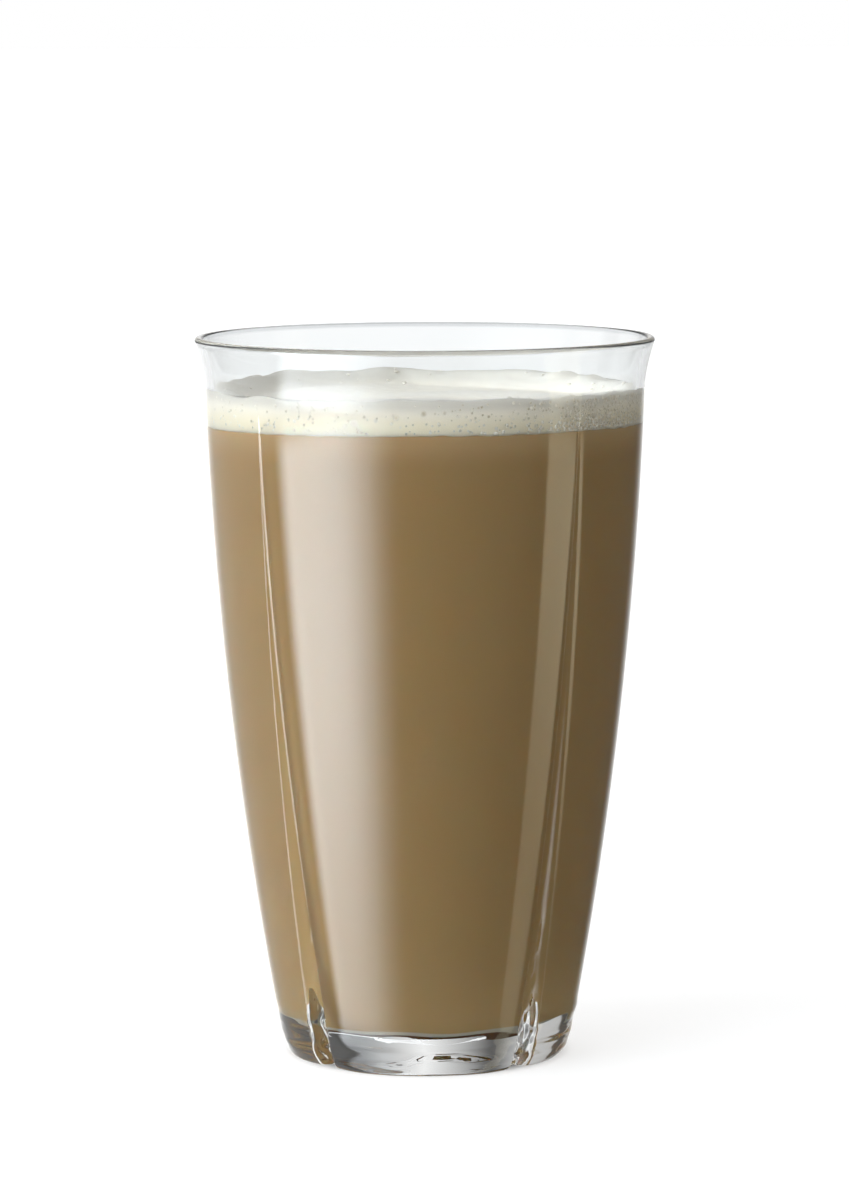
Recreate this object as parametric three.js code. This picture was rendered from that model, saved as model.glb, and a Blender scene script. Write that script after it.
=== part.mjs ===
// A tall glass of latte, in millimetres, with +Z up and the origin on the table under its centre.
// The glass is pressed and clear: a barrel wall that thickens downwards, a short flared lip, a
// heavy base, and four upright grooves that part the foot into four lobes. Milky coffee fills it,
// and a layer of milk foam lies right across the coffee and clings to the wall in an uneven ring.
// Angles are measured round +Z from the front, which is -Y, towards +X.
import * as THREE from "three";

// Outside of the glass
const glassHeight = 130;
const rimRadius = 41.3;
const lipBottom = 121.2;
const lipCurve = 1.6;
const wallTopRadius = 39.45;
const wallTopHeight = 119;
const wallFootRadius = 26.85;
const wallFootHeight = 5.6;
const barrelBulge = 8.35;
const footCornerWidth = 1.3;
const footCornerHeight = 6;
const footRingInner = 20.4;
const undersideRise = 2;

// Inside of the glass
const rimThickness = 1.5;
const floorWallThickness = 5;
const wallThinning = 2.2;
const floorHeight = 6.2;
const floorCornerWidth = 9;
const floorCornerHeight = 16;

// The four grooves, which start as a fine line and grow towards the foot
const grooveCount = 4;
const grooveTop = 118;
const scoreDepth = 0.12;
const scoreRunOut = 3;
const grooveFootDepth = 2.85;
const grooveDeepening = 1.5;
const scoreWidth = 0.9;
const grooveFootWidth = 4.3;
const grooveWidening = 1.3;
const shoulderDrop = 0.6;
const shoulderReach = 0.45;

// Contents
const coffeeLevel = 115;
const gap = 0.3;
const foamDishHeight = 118.9;
const foamCrestHeight = 121.2;
const foamCrestUnevenness = 0.35;
const foamCrestWidth = 1.5;
const foamRingWidth = 7.5;
const foamRingUnevenness = 2.3;
const foamSwirlHeight = 0.3;

// How finely the surfaces are divided
const grooveSteps = 4;
const panelSteps = 6;
const contentColumns = 72;

const { clamp, degToRad, lerp, smoothstep } = THREE.MathUtils;
const point = (radius, height) => new THREE.Vector2(radius, height);

// Evenly spaced values from first to last, with both ends.
function steps(first, last, count) {
  return Array.from({ length: count + 1 }, (_, i) => lerp(first, last, i / count));
}

// The barrel: a straight cone from foot to lip, bowed outwards by a parabola.
function barrelRadius(height) {
  const rise = (height - wallFootHeight) / (wallTopHeight - wallFootHeight);
  return lerp(wallFootRadius, wallTopRadius, rise) + barrelBulge * rise * (1 - rise);
}

// The outside of the wall, with the lip's flare, as round as it is between the grooves.
function outerRadius(height) {
  if (height <= lipBottom) return barrelRadius(height);
  const lipTop = glassHeight - rimThickness / 2;
  const climb = (height - lipBottom) / (lipTop - lipBottom);
  const flare = rimRadius - barrelRadius(lipTop);
  return barrelRadius(height) + flare * climb ** lipCurve;
}

function wallThickness(height) {
  const drop = clamp((wallTopHeight - height) / (wallTopHeight - floorHeight), 0, 1);
  return lerp(rimThickness, floorWallThickness, drop ** wallThinning);
}

function innerRadius(height) {
  return outerRadius(height) - wallThickness(height);
}

// A quarter of an ellipse where a wall meets a level: points from the level up to the wall.
function cornerPoints(wallRadius, level, width, rise, count) {
  return steps(0, Math.PI / 2, count).map((turn) => {
    const height = level + rise * (1 - Math.cos(turn));
    return point(wallRadius(height) - width * (1 - Math.sin(turn)), height);
  });
}

const grooveGrowth = (height) => Math.max(0, 1 - height / grooveTop);

function grooveDepth(height) {
  const score = scoreDepth * clamp((grooveTop - height) / scoreRunOut, 0, 1);
  return score + grooveFootDepth * grooveGrowth(height) ** grooveDeepening;
}

function grooveHalfWidth(height) {
  return lerp(scoreWidth, grooveFootWidth, grooveGrowth(height) ** grooveWidening) / 2;
}

// How far a panel falls away beside a groove, so that it bulges a little: along is 0 at the
// groove's shoulder and 1 in the middle of the panel.
function panelDrop(along, height) {
  return shoulderDrop * grooveGrowth(height) * Math.max(0, 1 - along / shoulderReach) ** 2;
}

// A lathe whose points are moved: place gives each point's radius, height and angle.
function shapedLathe(profile, columns, place) {
  const geometry = new THREE.LatheGeometry(profile, columns);
  const position = geometry.getAttribute("position");
  for (let column = 0; column <= columns; column++) {
    profile.forEach((spot, row) => {
      const { radius, height, angle } = place(spot, column % columns);
      const index = column * profile.length + row;
      position.setXYZ(index, radius * Math.sin(angle), height, radius * Math.cos(angle));
    });
  }
  return geometry.rotateX(Math.PI / 2);
}

// One column of the glass. Its lines follow the groove's edges down the wall: across is 0 in the
// middle of the groove and 1 at its shoulder, and past that the panel between two grooves is
// divided evenly. The cut is how far the outside is set back there.
function glassColumn(column, height) {
  const perGroove = 2 * (grooveSteps + panelSteps);
  const groove = Math.round(column / perGroove);
  const step = column - groove * perGroove;
  const panelHalf = Math.PI / grooveCount;
  const shoulder = grooveHalfWidth(height) / barrelRadius(height);
  const across = Math.min(1, Math.abs(step) / grooveSteps);
  const along = Math.max(0, Math.abs(step) - grooveSteps) / panelSteps;
  const offset = lerp(across * shoulder, panelHalf, along);
  const middle = degToRad(45) + (groove * 2 * Math.PI) / grooveCount;
  const cut = grooveDepth(height) * (1 - across ** 2) + panelDrop(along, height);
  return { cut, angle: middle + Math.sign(step) * offset };
}

function makeGlass() {
  const underside = steps(0, footRingInner, 4).map((radius) =>
    point(radius, undersideRise * (1 - (radius / footRingInner) ** 2)),
  );
  const outside = [
    ...cornerPoints(outerRadius, 0, footCornerWidth, footCornerHeight, 4),
    ...steps(footCornerHeight, lipBottom, 10)
      .slice(1)
      .map((height) => point(outerRadius(height), height)),
    ...steps(lipBottom, glassHeight - rimThickness / 2, 4)
      .slice(1)
      .map((height) => point(outerRadius(height), height)),
  ];
  const rim = steps(0, Math.PI, 6)
    .slice(1)
    .map((turn) =>
      point(
        rimRadius - (rimThickness / 2) * (1 - Math.cos(turn)),
        glassHeight - (rimThickness / 2) * (1 - Math.sin(turn)),
      ),
    );
  const inside = [
    ...steps(glassHeight - rimThickness / 2, lipBottom, 3)
      .slice(1)
      .map((height) => point(innerRadius(height), height)),
    ...steps(lipBottom, floorHeight + floorCornerHeight, 8)
      .slice(1, -1)
      .map((height) => point(innerRadius(height), height)),
    ...cornerPoints(innerRadius, floorHeight, floorCornerWidth, floorCornerHeight, 5).reverse(),
    point(0, floorHeight),
  ];
  const grooved = new Set(outside);
  const columns = grooveCount * 2 * (grooveSteps + panelSteps);
  return shapedLathe([...underside, ...outside, ...rim, ...inside], columns, (spot, column) => {
    const { cut, angle } = glassColumn(column, spot.y);
    return { radius: spot.x - (grooved.has(spot) ? cut : 0), height: spot.y, angle };
  });
}

const contentAngle = (column) => (column * 2 * Math.PI) / contentColumns;

// The coffee fills the inside up to the foam.
function makeCoffee() {
  const fillRadius = (height) => innerRadius(height) - gap;
  const bottom = floorHeight + gap;
  const wallBottom = bottom + floorCornerHeight;
  const profile = [
    point(0, bottom),
    ...cornerPoints(fillRadius, bottom, floorCornerWidth, floorCornerHeight, 5),
    ...steps(wallBottom, coffeeLevel, 8).slice(1).map((height) => point(fillRadius(height), height)),
    point(0, coffeeLevel),
  ];
  return shapedLathe(profile, contentColumns, (spot, column) => {
    return { radius: spot.x, height: spot.y, angle: contentAngle(column) };
  });
}

// The top of the foam: a shallow dish with soft swirls, and a lumpy ring where it clings to the
// wall, widest and highest at the back.
function foamHeight(radius, angle) {
  const back = (1 - Math.cos(angle)) / 2;
  const lumps = 0.6 * Math.sin(2 * angle + 0.8) + 0.4 * Math.sin(5 * angle + 2.1);
  const crest = foamCrestHeight + foamCrestUnevenness * (lumps + back - 0.5);
  const width = foamRingWidth + foamRingUnevenness * (Math.sin(3 * angle + 0.5) + back - 0.5);
  const wall = innerRadius(foamCrestHeight) - gap;
  const climb = smoothstep(radius, wall - width, wall - foamCrestWidth);
  const swirl = foamSwirlHeight * Math.sin(radius / 5 + 2 * angle) * smoothstep(radius, 0, 12);
  return lerp(foamDishHeight + swirl, crest, climb);
}

function makeFoam() {
  const bottom = coffeeLevel + gap;
  const wallRadius = (height) => innerRadius(height) - gap;
  const side = steps(bottom, foamCrestHeight, 2).map((height) => point(wallRadius(height), height));
  const inwards = [1.4, 2.8, 4.2, 5.6, 7.5, 10, 13, 18, 24, 30];
  const top = inwards.map((inset) => point(wallRadius(foamCrestHeight) - inset, foamDishHeight));
  const surface = new Set([side.at(-1), ...top]);
  const profile = [point(0, bottom), ...side, ...top, point(0, foamDishHeight)];
  return shapedLathe(profile, contentColumns, (spot, column) => {
    const angle = contentAngle(column);
    const height = surface.has(spot) ? foamHeight(spot.x, angle) : spot.y;
    return { radius: spot.x, height, angle };
  });
}

// Clear, faintly grey-green glass
const glassMaterial = new THREE.MeshStandardMaterial({
  color: 0xeef2f0,
  roughness: 0.03,
  metalness: 0,
  transparent: true,
  opacity: 0.35,
});

// Coffee with much milk
const coffeeMaterial = new THREE.MeshStandardMaterial({
  color: 0x8c7250,
  roughness: 0.4,
  metalness: 0,
});

// Fine milk foam
const foamMaterial = new THREE.MeshStandardMaterial({
  color: 0xece9de,
  roughness: 0.8,
  metalness: 0,
});

function named(name, geometry, material) {
  const mesh = new THREE.Mesh(geometry, material);
  mesh.name = name;
  return mesh;
}

const contents = new THREE.Group();
contents.add(named("coffee", makeCoffee(), coffeeMaterial));
contents.add(named("foam", makeFoam(), foamMaterial));

const glassOfLatte = new THREE.Group();
glassOfLatte.add(named("glass", makeGlass(), glassMaterial));
glassOfLatte.add(contents);

export default glassOfLatte;
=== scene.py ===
"""A tall clear glass of milky coffee under milk foam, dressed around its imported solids.

Lengths are in metres and +Z is up. The glass stands on the floor at the origin. Angles round the
glass are measured from the front, which is -Y, towards +X.
"""

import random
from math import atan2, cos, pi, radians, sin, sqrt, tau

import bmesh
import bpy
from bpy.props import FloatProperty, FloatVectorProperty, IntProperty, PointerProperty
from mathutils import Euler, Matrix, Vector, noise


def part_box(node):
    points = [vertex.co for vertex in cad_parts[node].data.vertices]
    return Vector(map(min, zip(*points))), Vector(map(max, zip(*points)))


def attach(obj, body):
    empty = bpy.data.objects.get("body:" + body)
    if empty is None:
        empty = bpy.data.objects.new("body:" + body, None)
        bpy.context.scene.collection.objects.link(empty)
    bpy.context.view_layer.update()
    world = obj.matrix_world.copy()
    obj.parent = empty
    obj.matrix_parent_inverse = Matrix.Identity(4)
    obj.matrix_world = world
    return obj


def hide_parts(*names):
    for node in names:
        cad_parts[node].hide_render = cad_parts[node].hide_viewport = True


bl_info = {
    "name": "Glass of Latte",
    "version": (1, 0, 0),
    "blender": (4, 5, 0),
    "location": "3D View > Sidebar > Latte",
    "description": "Builds a tall glass of milky coffee under milk foam, with its studio",
    "category": "Object",
}

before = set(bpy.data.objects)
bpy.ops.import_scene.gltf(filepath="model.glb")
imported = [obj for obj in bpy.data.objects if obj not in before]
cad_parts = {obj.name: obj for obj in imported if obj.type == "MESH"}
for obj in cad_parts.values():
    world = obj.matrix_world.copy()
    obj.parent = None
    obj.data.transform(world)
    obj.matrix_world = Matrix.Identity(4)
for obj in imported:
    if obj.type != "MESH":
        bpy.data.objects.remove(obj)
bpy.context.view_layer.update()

MM = 0.001
GLASS_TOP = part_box("glass")[1]
COFFEE_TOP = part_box("coffee")[1].z
FOAM_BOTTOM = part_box("foam")[0].z
FLOOR_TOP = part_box("coffee")[0].z
QUARTER_TURN = pi / 2
DEGREES_IN_RADIAN = 180 / pi
TINY = 1e-6


def length(name, description, millimetres):
    """A length property whose default is given in millimetres."""
    return FloatProperty(
        name=name, description=description, default=millimetres * MM, unit="LENGTH", precision=5
    )


def colour(name, description, value):
    """A linear colour property."""
    return FloatVectorProperty(
        name=name, description=description, default=value, subtype="COLOR", min=0, max=1
    )


def share(name, description, value):
    """A plain number property."""
    return FloatProperty(name=name, description=description, default=value)


def blend(low, high, amount):
    return low + (high - low) * amount


def clamped(value, low=0.0, high=1.0):
    return max(low, min(high, value))


def smooth(value, low, high):
    """0 below low, 1 above high and an S between them."""
    amount = clamped((value - low) / (high - low))
    return amount * amount * (3 - 2 * amount)


def steps(first, last, count):
    """Evenly spaced values from first to last, with both ends."""
    return [blend(first, last, index / count) for index in range(count + 1)]


def corner(wall_radius, level, width, height, count):
    """A quarter of an ellipse where a wall meets a level: points from the level up to the wall."""
    points = []
    for turn in steps(0, QUARTER_TURN, count):
        above = level + height * (1 - cos(turn))
        points.append((wall_radius(above) - width * (1 - sin(turn)), above))
    return points


# How finely the rounding at the inner floor is divided
ROUNDING_STEPS = 20


class GlassSizes(bpy.types.PropertyGroup):
    """The pressed glass, with its wall worked out as radii at a height."""

    height: FloatProperty(
        name="Height", description="Foot to rim", default=GLASS_TOP.z, unit="LENGTH"
    )
    rim_radius: FloatProperty(
        name="Rim radius", description="Outside of the flared lip", default=GLASS_TOP.x, unit="LENGTH"
    )
    lip_bottom: length("Lip bottom", "Height at which the wall starts to flare", 121.2)
    lip_curve: share("Lip curve", "How late the lip flares", 1.6)
    wall_top_radius: length("Wall top radius", "Outside of the barrel near its top", 39.45)
    wall_top_height: length("Wall top height", "Height of that radius", 119)
    wall_foot_radius: length("Wall foot radius", "Outside of the barrel near its foot", 26.85)
    wall_foot_height: length("Wall foot height", "Height of that radius", 5.6)
    barrel_bulge: length("Barrel bulge", "How much the barrel bows outwards", 8.35)
    foot_corner_width: length("Foot corner width", "How far the foot is drawn in by its rounding", 1.3)
    foot_corner_height: length("Foot corner height", "Height at which that rounding starts", 6)
    foot_ring_inner: length("Foot ring", "Inner radius of the flat ring it stands on", 20.4)
    underside_rise: length("Underside rise", "How hollow the underside is", 2)
    rim_thickness: length("Rim thickness", "Wall thickness at the lip", 1.5)
    floor_wall: length("Wall at the floor", "Wall thickness at the inner floor", 5)
    wall_thinning: share("Wall thinning", "How fast the wall thins upwards", 2.2)
    floor_height: length("Floor height", "Thickness of the base", 6.2)
    floor_corner_width: length("Floor corner width", "How far in the inner floor's rounding reaches", 9)
    floor_corner_height: length("Floor corner height", "How far up it reaches", 16)
    groove_top: length("Groove top", "Height at which the grooves start", 118)
    score_depth: length("Score depth", "Depth of the fine line that starts a groove", 0.12)
    score_run_out: length("Score run-out", "Height over which that line fades in", 3)
    groove_foot_depth: length("Groove depth", "Depth of a groove at the foot", 2.85)
    groove_deepening: share("Groove deepening", "How late the grooves deepen", 1.5)
    score_width: length("Score width", "Width of a groove at its top", 0.9)
    groove_foot_width: length("Groove width", "Width of a groove at the foot", 4.3)
    groove_widening: share("Groove widening", "How late the grooves widen", 1.3)
    crisp_shoulder: share("Shoulder at the top", "How far out a groove's rounded shoulder starts", 0.88)
    soft_shoulder: share("Shoulder at the foot", "The same at the foot, where it is rounder", 0.7)
    shoulder_drop: length("Shoulder drop", "How far a panel falls away beside a groove at the foot", 0.6)
    shoulder_reach: share("Shoulder reach", "The share of half a panel over which it falls away", 0.45)
    press_waves: length("Groove waves", "How far the pressed surface wanders low in a groove", 0.7)
    foot_waves: length("Foot waves", "How far the outside of the foot wanders", 0.28)
    underside_waves: length("Underside waves", "How far the underside wanders", 0.25)

    @property
    def lip_top(self):
        return self.height - self.rim_thickness / 2

    def barrel(self, height):
        """The outer radius of the barrel: a cone bowed outwards by a parabola."""
        rise = (height - self.wall_foot_height) / (self.wall_top_height - self.wall_foot_height)
        cone = blend(self.wall_foot_radius, self.wall_top_radius, rise)
        return cone + self.barrel_bulge * rise * (1 - rise)

    def outer(self, height):
        """The outer radius with the lip's flare."""
        if height <= self.lip_bottom:
            return self.barrel(height)
        climb = (height - self.lip_bottom) / (self.lip_top - self.lip_bottom)
        flare = self.rim_radius - self.barrel(self.lip_top)
        return self.barrel(height) + flare * climb ** self.lip_curve

    def inner(self, height):
        """The radius of the hollow."""
        drop = (self.wall_top_height - height) / (self.wall_top_height - self.floor_height)
        wall = blend(self.rim_thickness, self.floor_wall, clamped(drop) ** self.wall_thinning)
        return self.outer(height) - wall

    def floor_rounding(self, wall_radius, level):
        """The points of the rounding between an inner wall and the floor, from the floor up."""
        width, height = self.floor_corner_width, self.floor_corner_height
        return corner(wall_radius, level, width, height, ROUNDING_STEPS)

    def groove_growth(self, height):
        return max(0.0, 1 - height / self.groove_top)

    def groove_depth(self, height):
        score = self.score_depth * clamped((self.groove_top - height) / self.score_run_out)
        return score + self.groove_foot_depth * self.groove_growth(height) ** self.groove_deepening

    def groove_half_width(self, height):
        growth = self.groove_growth(height) ** self.groove_widening
        return blend(self.score_width, self.groove_foot_width, growth) / 2

    def panel_drop(self, along, height):
        """How far a panel falls away: along is 0 at a groove's shoulder and 1 in mid-panel."""
        slope = max(0.0, 1 - along / self.shoulder_reach)
        return self.shoulder_drop * self.groove_growth(height) * slope * slope

    def shoulder_start(self, height):
        """Where across a groove its parabola passes into the rounded shoulder."""
        return blend(self.crisp_shoulder, self.soft_shoulder, self.groove_growth(height))


# The foam reaches this many times as far into the wall as the coffee, so that its edge stays in front
FOAM_REACH = 1.2


class DrinkSizes(bpy.types.PropertyGroup):
    """What fills the glass."""

    reach: length("Reach", "How far the drink reaches into the wall, so that no air shows", 0.12)
    level_unevenness: length("Uneven level", "How far the coffee's level wanders", 0.55)
    dish_height: length("Foam dish", "Height of the foam's middle", 118.9)
    crest_height: length("Foam crest", "Height of the foam's ring at the wall", 121.2)
    crest_unevenness: length("Uneven crest", "How far that height wanders", 0.35)
    crest_width: length("Crest width", "Width of the ring's top", 1.5)
    ring_width: length("Ring width", "Width of the ring's slope", 7.5)
    ring_unevenness: length("Uneven ring", "How far that width wanders", 2.3)
    swirl_height: length("Swirl height", "Height of the foam's soft swirls", 0.3)
    fold_centre: length("Fold centre", "How far back the round fold in the foam is centred", 34)
    fold_radius: length("Fold radius", "Radius of that fold", 37)
    fold_height: length("Fold height", "Height of that fold", 0.3)
    small_bubbles: IntProperty(name="Small bubbles", description="Bubbles at the wall", default=1300)
    ring_bubbles: IntProperty(name="Ring bubbles", description="Bubbles on the foam's ring", default=50)

    def foam_radius(self, sizes, height):
        """How far out the foam's side lies at a height."""
        return sizes.inner(height) + self.reach * FOAM_REACH


class Colours(bpy.types.PropertyGroup):
    """Linear colours of the finishes, with some painted shade and a painted reflection among them."""

    coffee: colour("Coffee", "Coffee with much milk", (0.372, 0.25, 0.115))
    coffee_top: colour("Coffee top", "Coffee just under the foam", (0.5, 0.36, 0.2))
    # Painted shade and painted reflection round the coffee's foot: a dark line for the coffee facing the
    # dark floor under the glass, and a pale line for the white floor reflected where the glass turns
    # into its foot
    painted_foot_shade: colour("Coffee edge", "The dark line round the coffee's foot", (0.12, 0.07, 0.04))
    painted_foot_reflection: colour("Coffee foot", "The pale line just above it", (0.44, 0.41, 0.33))
    foam: colour("Foam", "Fine milk foam", (0.915, 0.872, 0.785))
    # Painted shade: the foam's ring is greyer because it is lit less
    painted_crest_shade: colour("Foam crest", "Foam on top of its ring, greyer", (0.72, 0.695, 0.63))
    # Painted shade in the middle of a bubble at the wall, where light goes into the air of the bubble
    bubble: colour("Bubble", "The darker inside of a bubble at the wall", (0.44, 0.37, 0.22))
    foam_foot: colour("Foam foot", "Foam where it takes colour from the coffee", (0.975, 0.86, 0.655))
    # Painted shade: the rim's glass is tinted darker for the dark line that the rim shows
    painted_rim_shade: colour("Glass edge", "The rim, which looks darker", (0.7, 0.71, 0.72))
    glass: colour("Glass", "Clear glass", (0.965, 0.975, 0.97))


class StudioSizes(bpy.types.PropertyGroup):
    """The camera, fitted to the photograph, and the floor."""

    distance: length("Camera distance", "From the glass's axis, level", 882.1)
    camera_height: length("Camera height", "Above the floor", 186.5)
    pitch: FloatProperty(
        name="Pitch", description="How far it looks down", default=radians(6.74), subtype="ANGLE"
    )
    turn: FloatProperty(
        name="Turn", description="How far round the glass", default=radians(2), subtype="ANGLE"
    )
    aim: FloatProperty(
        name="Aim", description="How far left of the axis", default=radians(0.0105), subtype="ANGLE"
    )
    roll: FloatProperty(
        name="Roll", description="Lean of the picture", default=radians(-0.16), subtype="ANGLE"
    )
    lens: share("Lens", "Focal length in millimetres on a 36 mm sensor", 147.6)
    floor_radius: length("Floor radius", "Radius of the pale floor", 30000)


class Made:
    """A node that has been added, whose outputs are read by name."""

    def __init__(self, tree, node):
        self.tree = tree
        self.node = node

    def __getitem__(self, key):
        return Wire(self.tree, self.node.outputs[key])


class Wire:
    """A number that comes out of a node. Arithmetic on it adds Math nodes."""

    def __init__(self, tree, socket):
        self.tree = tree
        self.socket = socket

    def math(self, operation, *values):
        sockets = dict(enumerate(values))
        return self.tree.add("ShaderNodeMath", {"operation": operation}, sockets)["Value"]

    def length(self):
        """The length of a vector."""
        return self.tree.add("ShaderNodeVectorMath", {"operation": "LENGTH"}, {0: self})["Value"]

    def __add__(self, other):
        return self.math("ADD", self, other)

    def __radd__(self, other):
        return self.math("ADD", other, self)

    def __sub__(self, other):
        return self.math("SUBTRACT", self, other)

    def __rsub__(self, other):
        return self.math("SUBTRACT", other, self)

    def __mul__(self, other):
        return self.math("MULTIPLY", self, other)

    def __rmul__(self, other):
        return self.math("MULTIPLY", other, self)


def opaque(tone):
    """A colour with its alpha, or the wire that carries it."""
    return tone if isinstance(tone, Wire) else (*tone, 1)


class Tree:
    """A node tree that is built by adding nodes with their settings and sockets."""

    def __init__(self, owner):
        owner.use_nodes = True
        self.nodes = owner.node_tree.nodes
        self.links = owner.node_tree.links
        self.nodes.clear()

    def add(self, kind, settings=None, sockets=None):
        """A new node of a kind, with its settings and then the values or links of its sockets."""
        node = self.nodes.new(kind)
        for key, value in (settings or {}).items():
            setattr(node, key, value)
        for key, value in (sockets or {}).items():
            if isinstance(value, Wire):
                self.links.new(value.socket, node.inputs[key])
            else:
                node.inputs[key].default_value = value
        return Made(self, node)

    def place(self):
        """The point on the piece, in the glass's own frame."""
        return self.add("ShaderNodeTexCoord")["Object"]

    def ramp(self, value, none, full):
        """0 up to the value none, 1 from the value full on, and an S between them."""
        settings = {"interpolation_type": "SMOOTHSTEP"}
        sockets = {"Value": value, "From Min": none, "From Max": full}
        return self.add("ShaderNodeMapRange", settings, sockets)["Result"]

    def band(self, value, edges):
        """1 in a band of values. Its edges are where it begins, is full, is last full and ends."""
        begin, full, last_full, end = edges
        return self.ramp(value, begin, full) * self.ramp(value, end, last_full)

    def height(self, place):
        """How high a place lies above the ground that the glass stands on."""
        return self.add("ShaderNodeSeparateXYZ", None, {"Vector": place})["Z"]

    def ray_kinds(self):
        """1 for rays that light the drink and the floor, and 1 for rays straight from the camera."""
        light_path = self.add("ShaderNodeLightPath")
        depth = light_path["Diffuse Depth"]
        return depth.math("MINIMUM", depth, 1), light_path["Is Camera Ray"]

    def noise(self, place, scale, detail=2.0, roughness=0.5):
        sockets = {"Vector": place, "Scale": scale, "Detail": detail, "Roughness": roughness}
        return self.add("ShaderNodeTexNoise", None, sockets)["Fac"]

    def mix(self, factor, first, second):
        """A colour between two colours. The Mix node's colour sockets are found by their places."""
        sockets = {0: factor, 6: opaque(first), 7: opaque(second)}
        return self.add("ShaderNodeMix", {"data_type": "RGBA"}, sockets)[2]

    def surface(self, shader):
        self.add("ShaderNodeOutputMaterial", None, {"Surface": shader})


# How far under its top the rim's painted shade begins and is full
RIM_SHADE = (1.1 * MM, 0.5 * MM)


def glass_material(colours):
    """Clear glass, whose rim has painted shade to look a little darker."""
    material = bpy.data.materials.new("clear_glass")
    tree = Tree(material)
    at_rim = tree.ramp(tree.height(tree.place()), GLASS_TOP.z - RIM_SHADE[0], GLASS_TOP.z - RIM_SHADE[1])
    sockets = {
        "Base Color": tree.mix(at_rim, colours.glass, colours.painted_rim_shade),
        "Roughness": 0.0,
        "IOR": 1.5,
        "Transmission Weight": 1.0,
    }
    body = tree.add("ShaderNodeBsdfPrincipled", None, sockets)["BSDF"]
    tree.surface(body)
    return material


# How far under the foam the coffee starts to get paler
PALE_DEPTH = 6 * MM

# Two fine lines round the coffee's foot, a pale one of painted reflection and a dark one of painted
# shade: how far above its bottom each begins and is full
PAINTED_REFLECTION_LINE = (1.2 * MM, 0.8 * MM)
PAINTED_SHADE_LINE = (0.3 * MM, 0.1 * MM)

# The lines stay off the flat middle of the bottom: the radii where they begin and are full
OFF_MIDDLE = (11 * MM, 13 * MM)


def coffee_material(colours):
    """Milky coffee against the wall, paler just under the foam, with a painted reflection and painted
    shade as fine lines round its foot.
    """
    material = bpy.data.materials.new("milky_coffee")
    tree = Tree(material)
    place = tree.place()
    height = tree.height(place)
    near_foam = tree.ramp(height, COFFEE_TOP - PALE_DEPTH, COFFEE_TOP + 0.5 * MM)
    flattened = {0: place, 1: (1, 1, 0)}
    level = tree.add("ShaderNodeVectorMath", {"operation": "MULTIPLY"}, flattened)["Vector"]
    off_middle = tree.ramp(level.length(), *OFF_MIDDLE)
    cloud = tree.noise(place, scale=40.0)
    tone = tree.mix(near_foam * 0.7 + cloud * 0.08, colours.coffee, colours.coffee_top)
    # The pale line of painted reflection, then the dark line of painted shade under it
    foot = tree.ramp(height, FLOOR_TOP + PAINTED_REFLECTION_LINE[0], FLOOR_TOP + PAINTED_REFLECTION_LINE[1]) * off_middle
    edge = tree.ramp(height, FLOOR_TOP + PAINTED_SHADE_LINE[0], FLOOR_TOP + PAINTED_SHADE_LINE[1]) * off_middle
    tone = tree.mix(edge, tree.mix(foot, tone, colours.painted_foot_reflection), colours.painted_foot_shade)
    sockets = {
        "Base Color": tone,
        "Roughness": 0.5,
        "Specular IOR Level": 0.0,
        "Subsurface Weight": 1.0,
        "Subsurface Radius": (1.0, 0.6, 0.35),
        "Subsurface Scale": 0.7 * MM,
    }
    body = tree.add("ShaderNodeBsdfPrincipled", None, sockets)["BSDF"]
    tree.surface(body)
    return material


# How far above the coffee the foam stops taking colour from it
WARM_DEPTH = 4.5 * MM

# How far above the coffee the painted shade on the foam's ring starts and is greyest
CREST_SHADE = (3.2 * MM, 5.2 * MM)


def foam_material(colours):
    """Fine milk foam with the grain of its bubbles, warm by the coffee and with painted shade that greys
    its ring.
    """
    material = bpy.data.materials.new("milk_foam")
    tree = Tree(material)
    place = tree.place()
    height = tree.height(place)
    near_coffee = tree.ramp(height, FOAM_BOTTOM + WARM_DEPTH, FOAM_BOTTOM)
    tone = tree.mix(near_coffee * 0.9, colours.foam, colours.foam_foot)
    # Painted shade on the ring, which is lit less
    on_crest = tree.ramp(height, FOAM_BOTTOM + CREST_SHADE[0], FOAM_BOTTOM + CREST_SHADE[1])
    tone = tree.mix(on_crest, tone, colours.painted_crest_shade)
    grain = tree.noise(place, scale=1800.0, detail=3.0, roughness=0.7)
    relief = {"Strength": 0.25, "Distance": 0.1 * MM, "Height": grain}
    bump = tree.add("ShaderNodeBump", None, relief)
    sockets = {
        "Base Color": tone,
        "Roughness": 0.7,
        "Specular IOR Level": 0.05,
        "Subsurface Weight": 1.0,
        "Subsurface Radius": (0.9, 0.9, 0.9),
        "Subsurface Scale": 3.5 * MM,
        "Normal": bump["Normal"],
    }
    body = tree.add("ShaderNodeBsdfPrincipled", None, sockets)["BSDF"]
    tree.surface(body)
    return material


def bubble_material(colours):
    """The thin skin of a bubble, with painted shade in its middle where the light goes in."""
    material = bpy.data.materials.new("foam_bubble")
    tree = Tree(material)
    speck = tree.add("ShaderNodeAttribute", {"attribute_name": "speck"})["Fac"]
    sockets = {
        "Base Color": tree.mix(speck, colours.foam, colours.bubble),
        "Roughness": 0.35,
        "Specular IOR Level": 0.5,
    }
    body = tree.add("ShaderNodeBsdfPrincipled", None, sockets)["BSDF"]
    tree.surface(body)
    return material


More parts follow.
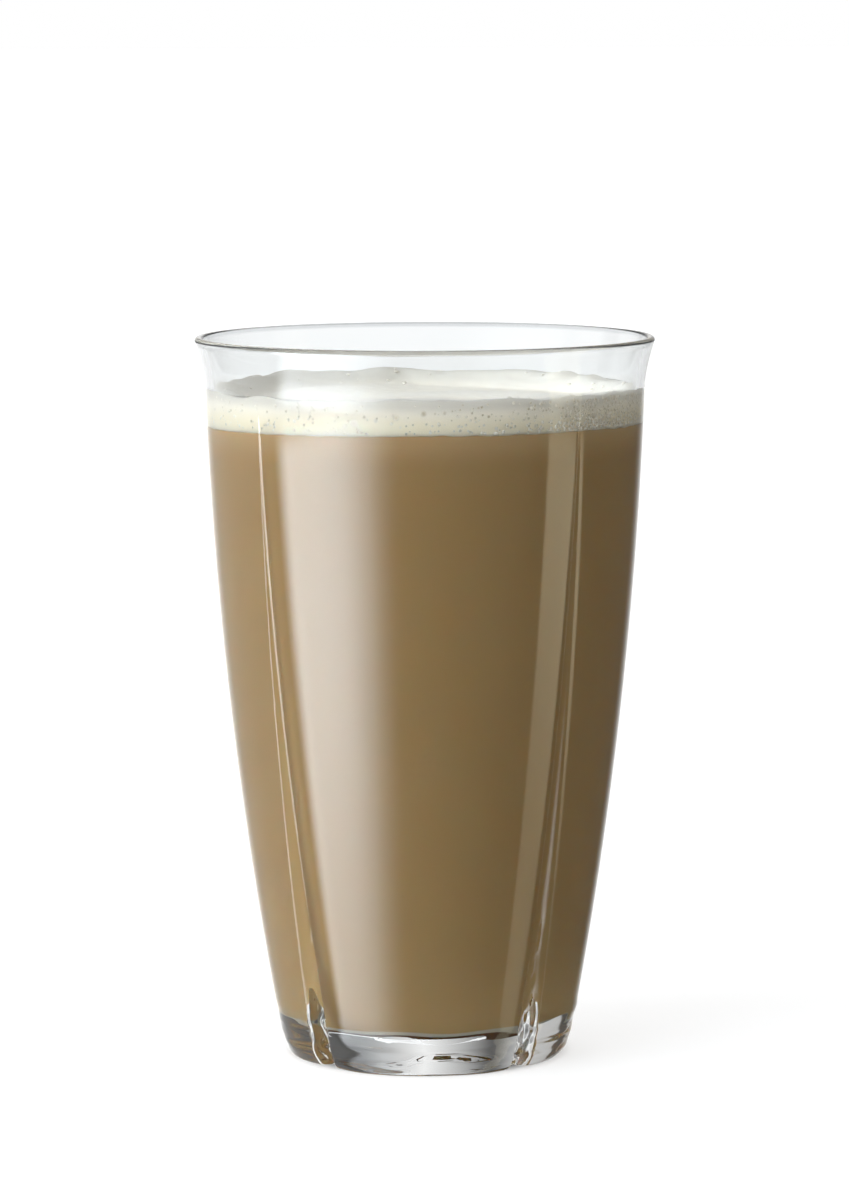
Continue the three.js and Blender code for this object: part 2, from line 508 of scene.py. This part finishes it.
def spun(outline, columns, marks=None):
    """A body of revolution round Z from an outline of (radius, height) points.

    marks gives each point a number by which its vertices are known later.
    """
    body = bmesh.new()
    layer = body.verts.layers.int.new("mark")
    points = [body.verts.new((0, -radius, height)) for radius, height in outline]
    for point, mark in zip(points, marks or [0] * len(points)):
        point[layer] = mark
    lines = [body.edges.new(pair) for pair in zip(points, points[1:])]
    bmesh.ops.spin(
        body,
        geom=points + lines,
        cent=(0, 0, 0),
        axis=(0, 0, 1),
        angle=tau,
        steps=columns,
        use_merge=True,
    )
    bmesh.ops.remove_doubles(body, verts=body.verts, dist=TINY)
    return body


SHARP_ANGLE = radians(50)


def finished(name, body, material):
    """Turns a bmesh into an object with its faces pointing out, smooth but for sharp corners."""
    bmesh.ops.recalc_face_normals(body, faces=body.faces)
    mesh = bpy.data.meshes.new(name)
    body.to_mesh(mesh)
    body.free()
    mesh.shade_smooth()
    mesh.set_sharp_from_angle(angle=SHARP_ANGLE)
    mesh.materials.append(material)
    piece = bpy.data.objects.new(name, mesh)
    bpy.context.collection.objects.link(piece)
    return piece


# How finely the glass is divided: round it, from a groove's middle to its shoulder and on to the
# middle of the panel, and then along its outline
GROOVES = 4
GROOVE_STEPS = 14
PANEL_STEPS = 18
UNDERSIDE_STEPS = 48
FOOT_STEPS = 14
WALL_STEPS = 36
LIP_STEPS = 14
RIM_STEPS = 16
INNER_LIP_STEPS = 10
INNER_WALL_STEPS = 28
FLOOR_STEPS = 8

# The waves of the pressed glass: the heights at which they begin and are full, going down, and
# their widths, with the depth from front to back as the second value of a pair
GROOVE_WAVES_TOP = 34 * MM
GROOVE_WAVES_FULL = 14 * MM
GROOVE_WAVE_WIDTH = 2.3 * MM
FOOT_WAVES_TOP = 11 * MM
FOOT_WAVES_FULL = 7 * MM
FOOT_WAVE_WIDTH = 8 * MM
FOOT_WAVE_HEIGHT = 1.8 * MM
BROAD_WAVE = (9 * MM, 3.2 * MM)
FINE_WAVE = (4 * MM, 1.6 * MM)
RING_SPACING = 4.4 * MM

# How far off in the noise the fine waves are read, so that they don't follow the broad ones
FINE_WAVE_PLACE = 7000

# Marks of the outline's points that the waves and grooves move
OUTSIDE = 1
UNDERSIDE = 2


def groove_waves(sizes, x, y, z, section):
    """The small waves that the press leaves low down in a groove."""
    low = smooth(-z, -GROOVE_WAVES_TOP, -GROOVE_WAVES_FULL)
    wave = noise.noise(Vector((x, y, z * 0.7)) / GROOVE_WAVE_WIDTH)
    return wave * sizes.press_waves * low * section


def foot_waves(sizes, x, y, z):
    """The faint waves of the pressed foot, which run mostly round it."""
    low = smooth(-z, -FOOT_WAVES_TOP, -FOOT_WAVES_FULL)
    place = Vector((x / FOOT_WAVE_WIDTH, y / FOOT_WAVE_WIDTH, z / FOOT_WAVE_HEIGHT))
    return noise.noise(place) * sizes.foot_waves * low


def underside_waves(sizes, x, y):
    """The faint waves of the pressed underside, mostly from side to side, with rings in them."""
    radius = sqrt(x * x + y * y)
    from_edge = 1 - (radius / sizes.foot_ring_inner) ** 4
    broad = noise.noise(Vector((x / BROAD_WAVE[0], y / BROAD_WAVE[1], 0)))
    fine = noise.noise(Vector((x / FINE_WAVE[0], y / FINE_WAVE[1], FINE_WAVE_PLACE)))
    rings = sin(tau * radius / RING_SPACING)
    return sizes.underside_waves * (broad + 0.4 * fine + 0.25 * rings) * from_edge


def groove_section(across, shoulder):
    """The depth of a groove, 1 in its middle, with a parabola's flanks and rounded shoulders.

    The round shoulder meets the flank at shoulder and the panel at 1 / shoulder, both smoothly.
    """
    if across < shoulder:
        return 1 - across * across
    if across < 1 / shoulder:
        return shoulder / (1 / shoulder - shoulder) * (1 / shoulder - across) ** 2
    return 0.0


def glass_column(sizes, column, height):
    """How far a column of the glass is cut back, how much of that is groove, and its angle."""
    groove = round(column / (2 * (GROOVE_STEPS + PANEL_STEPS)))
    step = column - groove * 2 * (GROOVE_STEPS + PANEL_STEPS)
    side = 1 if step > 0 else -1
    half_width = sizes.groove_half_width(height) / sizes.barrel(height)
    shoulder = sizes.shoulder_start(height)
    across = min(1, abs(step) / GROOVE_STEPS) ** 0.8 / shoulder
    along = max(0, abs(step) - GROOVE_STEPS) / PANEL_STEPS
    offset = blend(across * half_width, pi / GROOVES, along)
    section = groove_section(across, shoulder)
    cut = sizes.groove_depth(height) * section + sizes.panel_drop(along, height)
    return cut, section, pi / 4 + groove * tau / GROOVES + side * offset


class LATTE_OT_glass(bpy.types.Operator):
    """Spin the glass, then press its four grooves into the outside"""

    bl_idname = "latte.glass"
    bl_label = "Glass"

    def execute(self, context):
        sizes = context.scene.latte_glass
        half_rim = sizes.rim_thickness / 2
        underside = [
            (radius, sizes.underside_rise * (1 - (radius / sizes.foot_ring_inner) ** 2))
            for radius in steps(0, sizes.foot_ring_inner, UNDERSIDE_STEPS)
        ]
        foot = sizes.foot_corner_height
        outside = corner(sizes.outer, 0, sizes.foot_corner_width, foot, FOOT_STEPS)
        heights = steps(foot, GROOVE_WAVES_TOP, WALL_STEPS)[1:]
        heights += steps(GROOVE_WAVES_TOP, sizes.lip_bottom, WALL_STEPS)[1:]
        heights += steps(sizes.lip_bottom, sizes.lip_top, LIP_STEPS)[1:]
        outside += [(sizes.outer(height), height) for height in heights]
        rim = [
            (sizes.rim_radius - half_rim * (1 - cos(turn)), sizes.height - half_rim * (1 - sin(turn)))
            for turn in steps(0, pi, RIM_STEPS)[1:]
        ]
        wall_bottom = sizes.floor_height + sizes.floor_corner_height
        heights = steps(sizes.lip_top, sizes.lip_bottom, INNER_LIP_STEPS)[1:]
        heights += steps(sizes.lip_bottom, wall_bottom, INNER_WALL_STEPS)[1:-1]
        inside = [(sizes.inner(height), height) for height in heights]
        inside += sizes.floor_rounding(sizes.inner, sizes.floor_height)[::-1]
        floor_edge = inside[-1][0]
        inside += [(radius, sizes.floor_height) for radius in steps(floor_edge, 0, FLOOR_STEPS)[1:]]
        outline = underside + outside + rim + inside
        marks = [UNDERSIDE] * len(underside) + [OUTSIDE] * len(outside)
        marks += [0] * len(rim + inside)
        columns = GROOVES * 2 * (GROOVE_STEPS + PANEL_STEPS)
        body = spun(outline, columns, marks)
        mark = body.verts.layers.int["mark"]
        for vert in body.verts:
            radius = vert.co.xy.length
            if radius < TINY:
                continue
            column = round((atan2(vert.co.x, -vert.co.y) % tau) / tau * columns) % columns
            cut, section, angle = glass_column(sizes, column, vert.co.z)
            if vert[mark] == OUTSIDE:
                radius -= cut + groove_waves(sizes, *vert.co, section) + foot_waves(sizes, *vert.co)
            vert.co.x = radius * sin(angle)
            vert.co.y = -radius * cos(angle)
            if vert[mark] == UNDERSIDE:
                vert.co.z += underside_waves(sizes, vert.co.x, vert.co.y)
        piece = finished("pressed_glass", body, glass_material(context.scene.latte_colours))
        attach(piece, "root")
        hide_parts("glass")
        return {"FINISHED"}


def level_wander(drink, angle):
    """How far the coffee's level lies off its mean at an angle: it ripples and sags at the left."""
    left = -sin(angle)
    ripple = 0.25 * sin(3 * angle + 0.6) + 0.15 * sin(7 * angle + 2.0)
    ripple += 0.3 * noise.noise(Vector((sin(angle), cos(angle), 0)) * 14)
    return drink.level_unevenness * (ripple - 1.2 * smooth(left, 0.5, 1.0))


# How finely the coffee is divided round it, and how far its top pokes up into the foam
COFFEE_COLUMNS = 192
OVERLAP = 0.4 * MM


class LATTE_OT_coffee(bpy.types.Operator):
    """Fill the glass with coffee up to the foam"""

    bl_idname = "latte.coffee"
    bl_label = "Coffee"

    def execute(self, context):
        sizes = context.scene.latte_glass
        drink = context.scene.latte_drink

        def fill(height):
            return sizes.inner(height) + drink.reach

        bottom = sizes.floor_height - drink.reach
        rounding = sizes.floor_rounding(fill, bottom)
        outline = [(radius, bottom) for radius in steps(0, rounding[0][0], 6)[:-1]] + rounding
        heights = steps(rounding[-1][1], COFFEE_TOP, 30)[1:]
        outline += [(fill(height), height) for height in heights]
        rim = outline[-1][0]
        outline += [(radius, COFFEE_TOP) for radius in steps(rim, 0, 10)[1:]]
        body = spun(outline, COFFEE_COLUMNS)
        for vert in body.verts:
            if vert.co.z > COFFEE_TOP - TINY:
                angle = atan2(vert.co.x, -vert.co.y)
                vert.co.z += level_wander(drink, angle) + OVERLAP
        piece = finished("coffee_fill", body, coffee_material(context.scene.latte_colours))
        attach(piece, "root")
        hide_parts("coffee")
        return {"FINISHED"}


# The relief of the foam's top: how far apart its swirls are and where they begin, how soft the
# fold is, and the widths and heights of its knobs and of its grain
SWIRL_SPACING = 5 * MM
SWIRL_START = 12 * MM
FOLD_SOFTNESS = 1.5 * MM
KNOB_WIDTH = 6 * MM
KNOB_HEIGHT = 0.5 * MM
GRAIN_WIDTH = 1.6 * MM
GRAIN_HEIGHT = 0.08 * MM


def foam_height(sizes, drink, x, y):
    """The height of the foam's top at a place: a dish with soft swirls and a lumpy ring."""
    radius = sqrt(x * x + y * y)
    angle = atan2(x, -y)
    back = (1 - cos(angle)) / 2
    lumps = 0.6 * sin(2 * angle + 0.8) + 0.4 * sin(5 * angle + 2.1)
    crest = drink.crest_height + drink.crest_unevenness * (lumps + back - 0.5)
    width = drink.ring_width + drink.ring_unevenness * (sin(3 * angle + 0.5) + back - 0.5)
    wall = sizes.inner(drink.crest_height)
    climb = smooth(radius, wall - width, wall - drink.crest_width)
    swirl = drink.swirl_height * sin(radius / SWIRL_SPACING + 2 * angle)
    swirl *= smooth(radius, 0, SWIRL_START)
    from_fold = sqrt(x * x + (y - drink.fold_centre) ** 2) - drink.fold_radius
    fold = drink.fold_height * smooth(from_fold, -FOLD_SOFTNESS, FOLD_SOFTNESS)
    knobs = noise.noise(Vector((x, y, 0)) / KNOB_WIDTH) * KNOB_HEIGHT
    grain = noise.noise(Vector((x, y, 5 * MM)) / GRAIN_WIDTH) * GRAIN_HEIGHT
    return blend(drink.dish_height + swirl + fold, crest, climb) + knobs * (0.2 + climb) + grain


# How finely the foam is divided: round it, up its side and across its top
FOAM_COLUMNS = 360
FOAM_SIDE_STEPS = 24
FOAM_TOP_STEPS = 110


class LATTE_OT_foam(bpy.types.Operator):
    """Lay the foam across the coffee, dished, with an uneven ring at the wall"""

    bl_idname = "latte.foam"
    bl_label = "Foam"

    def execute(self, context):
        sizes = context.scene.latte_glass
        drink = context.scene.latte_drink
        heights = steps(COFFEE_TOP, drink.crest_height, FOAM_SIDE_STEPS)
        side = [(drink.foam_radius(sizes, height), height) for height in heights]
        rim = side[-1][0]
        top = [(radius, drink.crest_height) for radius in steps(rim, 0, FOAM_TOP_STEPS)[1:]]
        outline = [(0, COFFEE_TOP), (rim * 0.5, COFFEE_TOP), *side, *top]
        body = spun(outline, FOAM_COLUMNS)
        for vert in body.verts:
            if vert.co.z > drink.crest_height - TINY:
                vert.co.z = foam_height(sizes, drink, vert.co.x, vert.co.y)
            else:
                angle = atan2(vert.co.x, -vert.co.y)
                sink = 1 - (vert.co.z - COFFEE_TOP) / (drink.crest_height - COFFEE_TOP)
                vert.co.z += level_wander(drink, angle) * sink
        piece = finished("milk_foam", body, foam_material(context.scene.latte_colours))
        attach(piece, "root")
        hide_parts("foam")
        return {"FINISHED"}


# Bubbles that show at the front: degrees round the glass, height and diameter in millimetres, and
# how much painted shade the bubble has in its middle
FRONT_BUBBLES = (
    (-16.5, 117.3, 1.4, 0.25),
    (-10.7, 117.8, 0.8, 0.3),
    (-5.4, 118.3, 1.1, 0.65),
    (1.6, 119.0, 1.2, 0.75),
    (4.6, 119.0, 0.5, 0.5),
    (7.0, 119.1, 0.8, 0.5),
    (-2.8, 116.9, 0.45, 0.8),
    (3.4, 116.0, 0.4, 0.5),
    (9.5, 116.0, 0.4, 0.5),
    (22.0, 118.4, 0.5, 0.4),
)

# How flat the bubbles are: those above, the small ones at the wall and those on the ring
FRONT_FLATNESS = 0.12
SMALL_FLATNESS = 0.5
RING_FLATNESS = 0.6

# The share of the small bubbles that crowd at the right, and where: their middle and their spread
CROWDED_SHARE = 0.5
CROWD_MIDDLE = radians(58)
CROWD_SPREAD = radians(16)

# The ranges of the small bubbles' diameters, heights as shares of the foam's depth and painted shade,
# the ranges of the ring bubbles' distances from the wall and diameters, and how much painted shade those
# have
SMALL_DIAMETERS = (0.25 * MM, 0.65 * MM)
SMALL_HEIGHTS = (0.06, 0.92)
SMALL_SPECKS = (-0.2, 0.9)
RING_INSETS = (0.8 * MM, 6.5 * MM)
RING_DIAMETERS = (0.4 * MM, 1.0 * MM)
RING_SPECK = 0.2


class Bubbles:
    """Small domes that are shaped one at a time and gathered into one bmesh."""

    def __init__(self):
        self.body = bmesh.new()
        self.body.verts.layers.float.new("speck")
        self.one = bpy.data.meshes.new("bubble")

    def add(self, place, outward, diameter, flatness, speck):
        """A dome that points outward. Its speck of painted shade is strongest in its middle and fades to
        its edge.
        """
        dome = bmesh.new()
        layer = dome.verts.layers.float.new("speck")
        bmesh.ops.create_uvsphere(dome, u_segments=10, v_segments=6, radius=diameter / 2)
        for vert in dome.verts:
            vert[layer] = speck * (1 - (2 * vert.co.xy.length / diameter) ** 2)
        turned = outward.to_track_quat("Z", "Y").to_matrix().to_4x4()
        dome.transform(Matrix.Translation(place) @ turned @ Matrix.Diagonal((1, 1, flatness, 1)))
        dome.to_mesh(self.one)
        dome.free()
        self.body.from_mesh(self.one)


class LATTE_OT_bubbles(bpy.types.Operator):
    """Press bubbles of the foam against the glass and set some on its ring"""

    bl_idname = "latte.bubbles"
    bl_label = "Bubbles"

    def execute(self, context):
        sizes = context.scene.latte_glass
        drink = context.scene.latte_drink
        bubbles = Bubbles()
        draw = random.Random(7)

        def at_wall(angle, height, diameter, flatness, speck):
            outward = Vector((sin(angle), -cos(angle), 0))
            place = outward * drink.foam_radius(sizes, height) + Vector((0, 0, height))
            bubbles.add(place, outward, diameter, flatness, speck)

        for degrees, height, diameter, speck in FRONT_BUBBLES:
            at_wall(radians(degrees), height * MM, diameter * MM, FRONT_FLATNESS, speck)
        foam_depth = drink.crest_height - COFFEE_TOP
        for _ in range(drink.small_bubbles):
            angle = draw.uniform(0, tau)
            if draw.random() < CROWDED_SHARE:
                angle = draw.gauss(CROWD_MIDDLE, CROWD_SPREAD)
            height = COFFEE_TOP + foam_depth * blend(*SMALL_HEIGHTS, draw.random() ** 1.4)
            diameter = draw.uniform(*SMALL_DIAMETERS)
            at_wall(angle, height, diameter, SMALL_FLATNESS, draw.uniform(*SMALL_SPECKS))
        for _ in range(drink.ring_bubbles):
            angle = draw.uniform(0, tau)
            radius = sizes.inner(drink.crest_height) - draw.uniform(*RING_INSETS)
            x, y = radius * sin(angle), -radius * cos(angle)
            place = Vector((x, y, foam_height(sizes, drink, x, y)))
            upward = Vector((0, 0, 1))
            bubbles.add(place, upward, draw.uniform(*RING_DIAMETERS), RING_FLATNESS, RING_SPECK)
        piece = finished("foam_bubbles", bubbles.body, bubble_material(context.scene.latte_colours))
        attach(piece, "root")
        return {"FINISHED"}


# The studio round the glass, by azimuth in degrees from the camera's side towards the right. Four
# values say where a band begins, is full, is last full and ends, and two where an edge begins and
# is full. The base's level view sees the backdrop begin later.
LEFT_BOX = (-12, -53, -76, -88)
LEFT_BOX_STRENGTH = 9.6
RIGHT_CARD = (67, 70, 88, 92)
RIGHT_CARD_STRENGTH = 2.6
LEFT_WALL_EDGE = (-80, -100)
LEFT_WALL_STRENGTH = 0.5
WALL_GAP = (-110, -114, -124, -128)
WALL_END = (-146, -162)
BACKDROP_EDGE = (148, 176)
LEVEL_BACKDROP_SHIFT = 10
OVERHEAD_STRENGTH = 0.15
ROOM_LIGHT = 0.08

# Pairs of elevations in degrees: the first is where a light is out or weakest, and the second where
# it is full. The wall at the foam reflects what lies above the pair BELOW_FOAM.
BOX_TOP = (45, 20)
BOX_FOOT = (-36, -14)
CARD_FOOT = (-24, -10)
BELOW_FOAM = (-8, -9.6)
OVERHEAD_EDGE = (35, 75)

# Between these elevations a view passes from a falling one into a nearly level one
NEARLY_LEVEL = (-5, -1)


def degrees_from_behind(x, y):
    """How many degrees a direction lies off the one that leads straight back from the glass."""
    angle = x.math("ARCTAN2", x, y) * DEGREES_IN_RADIAN
    return angle.math("ABSOLUTE", angle)


def studio_world(scene, turn):
    """White all round for the camera, and for the glass a dark studio with its soft boxes.

    What the glass reflects of the boxes fades at the foam. The wall at the left has its gap and
    its end only for the base, which looks out nearly level. Rays that light the drink and the
    floor see the boxes without that fade and the wall without that gap and end.
    """
    world = bpy.data.worlds.new("studio")
    scene.world = world
    tree = Tree(world)
    direction = tree.add("ShaderNodeTexCoord")["Generated"]
    parts = tree.add("ShaderNodeSeparateXYZ", None, {"Vector": direction})
    towards_right = parts["X"]
    towards_camera = 0 - parts["Y"]
    angle = towards_right.math("ARCTAN2", towards_right, towards_camera)
    azimuth = angle * DEGREES_IN_RADIAN - turn
    off_axis = azimuth.math("PINGPONG", azimuth, 180)
    elevation = parts["Z"].math("ARCSINE", parts["Z"]) * DEGREES_IN_RADIAN
    is_lighting, is_camera = tree.ray_kinds()
    box_top = tree.ramp(elevation, *BOX_TOP)
    box_foot = tree.ramp(elevation, *BOX_FOOT) * 0.6 + 0.4
    card_foot = tree.ramp(elevation, *CARD_FOOT) * 0.55 + 0.45
    below_foam = tree.ramp(elevation, *BELOW_FOAM) * 0.93 + 0.07
    foam_fade = below_foam * (1 - is_lighting) + is_lighting
    left_box = tree.band(azimuth, LEFT_BOX) * box_top * box_foot * foam_fade * LEFT_BOX_STRENGTH
    right_strength = RIGHT_CARD_STRENGTH - is_lighting
    right_card = tree.band(azimuth, RIGHT_CARD) * card_foot * box_top * foam_fade * right_strength
    is_level = tree.ramp(elevation, *NEARLY_LEVEL)
    breaks = tree.band(azimuth, WALL_GAP) + tree.ramp(azimuth, *WALL_END)
    kept_wall = 1 - breaks * is_level * (1 - is_lighting)
    left_wall = tree.ramp(azimuth, *LEFT_WALL_EDGE) * kept_wall * LEFT_WALL_STRENGTH
    backdrop = tree.ramp(off_axis - is_level * LEVEL_BACKDROP_SHIFT, *BACKDROP_EDGE)
    overhead = tree.ramp(elevation, *OVERHEAD_EDGE) * OVERHEAD_STRENGTH
    room = is_lighting * 0.11 + ROOM_LIGHT
    others = left_wall + backdrop + overhead + room
    not_camera = (1 - is_camera) * (is_lighting * 0.25 + 1)
    cool = {"Color": (0.94, 1, 1.05, 1), "Strength": left_box * not_camera}
    warm = {"Color": (1, 0.93, 0.66, 1), "Strength": right_card * not_camera}
    neutral = {"Color": (1, 1, 1, 1), "Strength": others * not_camera + is_camera}
    lights = [tree.add("ShaderNodeBackground", None, sockets)[0] for sockets in (cool, warm, neutral)]
    first = tree.add("ShaderNodeAddShader", None, {0: lights[0], 1: lights[1]})[0]
    every = tree.add("ShaderNodeAddShader", None, {0: first, 1: lights[2]})[0]
    tree.add("ShaderNodeOutputWorld", None, {"Surface": every})


# The floor: its colour and glow, and the distances from the axis where the painted shadow under the
# glass and the painted shade of the ground beside it begin and are full
FLOOR_COLOUR = (0.495, 0.5, 0.51)
FLOOR_GLOW = 0.64
PAINTED_SHADOW_RADII = (27 * MM, 20 * MM)
BESIDE_GLASS = (400 * MM, 150 * MM)

# Straight behind the glass the floor's painted shade is least: the degrees off that direction where this
# begins and where it would be full, and the noise at which a painted streak of light there begins and is
# full
BEHIND_GLASS = (24, -6)
STREAK_EDGE = (0.44, 0.6)


def studio_floor(radius):
    """A white floor that is nearly lit from within, so that shadows on it stay faint.

    A painted shadow lies under the glass, and what the glass sees of the floor has painted shade close
    by, with painted streaks for the light that a base throws.
    """
    body = bmesh.new()
    bmesh.ops.create_circle(body, cap_ends=True, radius=radius, segments=96)
    material = bpy.data.materials.new("pale_floor")
    tree = Tree(material)
    place = tree.place()
    painted_shadow = tree.ramp(place.length(), *PAINTED_SHADOW_RADII)
    beside_glass = tree.ramp(place.length(), *BESIDE_GLASS)
    parts = tree.add("ShaderNodeSeparateXYZ", None, {"Vector": place})
    behind = tree.ramp(degrees_from_behind(parts["X"], parts["Y"]), *BEHIND_GLASS)
    is_lighting, is_camera = tree.ray_kinds()
    dimming = (1 - is_camera) * (0.85 - is_lighting * 0.55) * (1 - behind)
    streaks = tree.ramp(tree.noise(place, scale=75.0), *STREAK_EDGE)
    seen_streaks = streaks * (1 - is_camera) * (1 - is_lighting) * 0.3
    # Painted shadow under the glass, and painted shade with painted streaks in what the glass sees of
    # the ground beside it
    shade = painted_shadow * 0.95 + (dimming + seen_streaks * behind) * beside_glass * (1 - painted_shadow)
    glow = is_lighting * 0.04 + is_camera * 0.07 + FLOOR_GLOW
    sockets = {
        "Base Color": tree.mix(shade, FLOOR_COLOUR, (0, 0, 0)),
        "Roughness": 0.9,
        "Specular IOR Level": 0.0,
        "Emission Color": (1, 1, 1, 1),
        "Emission Strength": (1 - shade) * glow,
    }
    tree.surface(tree.add("ShaderNodeBsdfPrincipled", None, sockets)["BSDF"])
    floor_piece = finished("studio_floor", body, material)
    floor_piece.visible_glossy = False


class LATTE_OT_stage(bpy.types.Operator):
    """Set up the floor, the light and the camera"""

    bl_idname = "latte.stage"
    bl_label = "Studio"

    def execute(self, context):
        scene = context.scene
        studio = scene.latte_studio
        studio_floor(studio.floor_radius)
        studio_world(scene, studio.turn * DEGREES_IN_RADIAN)
        camera_data = bpy.data.cameras.new("camera")
        camera_data.sensor_width = 36
        camera_data.lens = studio.lens
        camera_data.clip_end = 100
        camera = bpy.data.objects.new("camera", camera_data)
        camera.location = (
            studio.distance * sin(studio.turn),
            -studio.distance * cos(studio.turn),
            studio.camera_height,
        )
        looking = Euler((QUARTER_TURN - studio.pitch, 0, studio.turn + studio.aim), "XYZ").to_matrix()
        leaning = Euler((0, 0, studio.roll), "XYZ").to_matrix()
        camera.rotation_euler = (looking @ leaning).to_euler()
        scene.collection.objects.link(camera)
        scene.camera = camera
        scene.view_settings.view_transform = "Standard"
        scene.cycles.max_bounces = 24
        scene.cycles.transmission_bounces = 24
        scene.cycles.glossy_bounces = 8
        scene.cycles.transparent_max_bounces = 24
        return {"FINISHED"}


class LATTE_PT_panel(bpy.types.Panel):
    """Sizes, colours and pieces of the glass of latte"""

    bl_label = "Glass of Latte"
    bl_idname = "LATTE_PT_panel"
    bl_space_type = "VIEW_3D"
    bl_region_type = "UI"
    bl_category = "Latte"

    def draw(self, context):
        for operator in OPERATORS:
            self.layout.operator(operator.bl_idname)
        for group in SETTINGS:
            box = self.layout.box()
            settings = getattr(context.scene, group)
            for name in SETTINGS[group].__annotations__:
                box.prop(settings, name)


OPERATORS = (LATTE_OT_glass, LATTE_OT_coffee, LATTE_OT_foam, LATTE_OT_bubbles, LATTE_OT_stage)
SETTINGS = {
    "latte_glass": GlassSizes,
    "latte_drink": DrinkSizes,
    "latte_colours": Colours,
    "latte_studio": StudioSizes,
}


def register():
    for kind in (*SETTINGS.values(), *OPERATORS, LATTE_PT_panel):
        bpy.utils.register_class(kind)
    for name, kind in SETTINGS.items():
        setattr(bpy.types.Scene, name, PointerProperty(type=kind))


def unregister():
    for name in SETTINGS:
        delattr(bpy.types.Scene, name)
    for kind in reversed((*SETTINGS.values(), *OPERATORS, LATTE_PT_panel)):
        bpy.utils.unregister_class(kind)


def main():
    register()
    bpy.ops.latte.glass()
    bpy.ops.latte.coffee()
    bpy.ops.latte.foam()
    bpy.ops.latte.bubbles()
    bpy.ops.latte.stage()


if __name__ == "__main__":
    main()
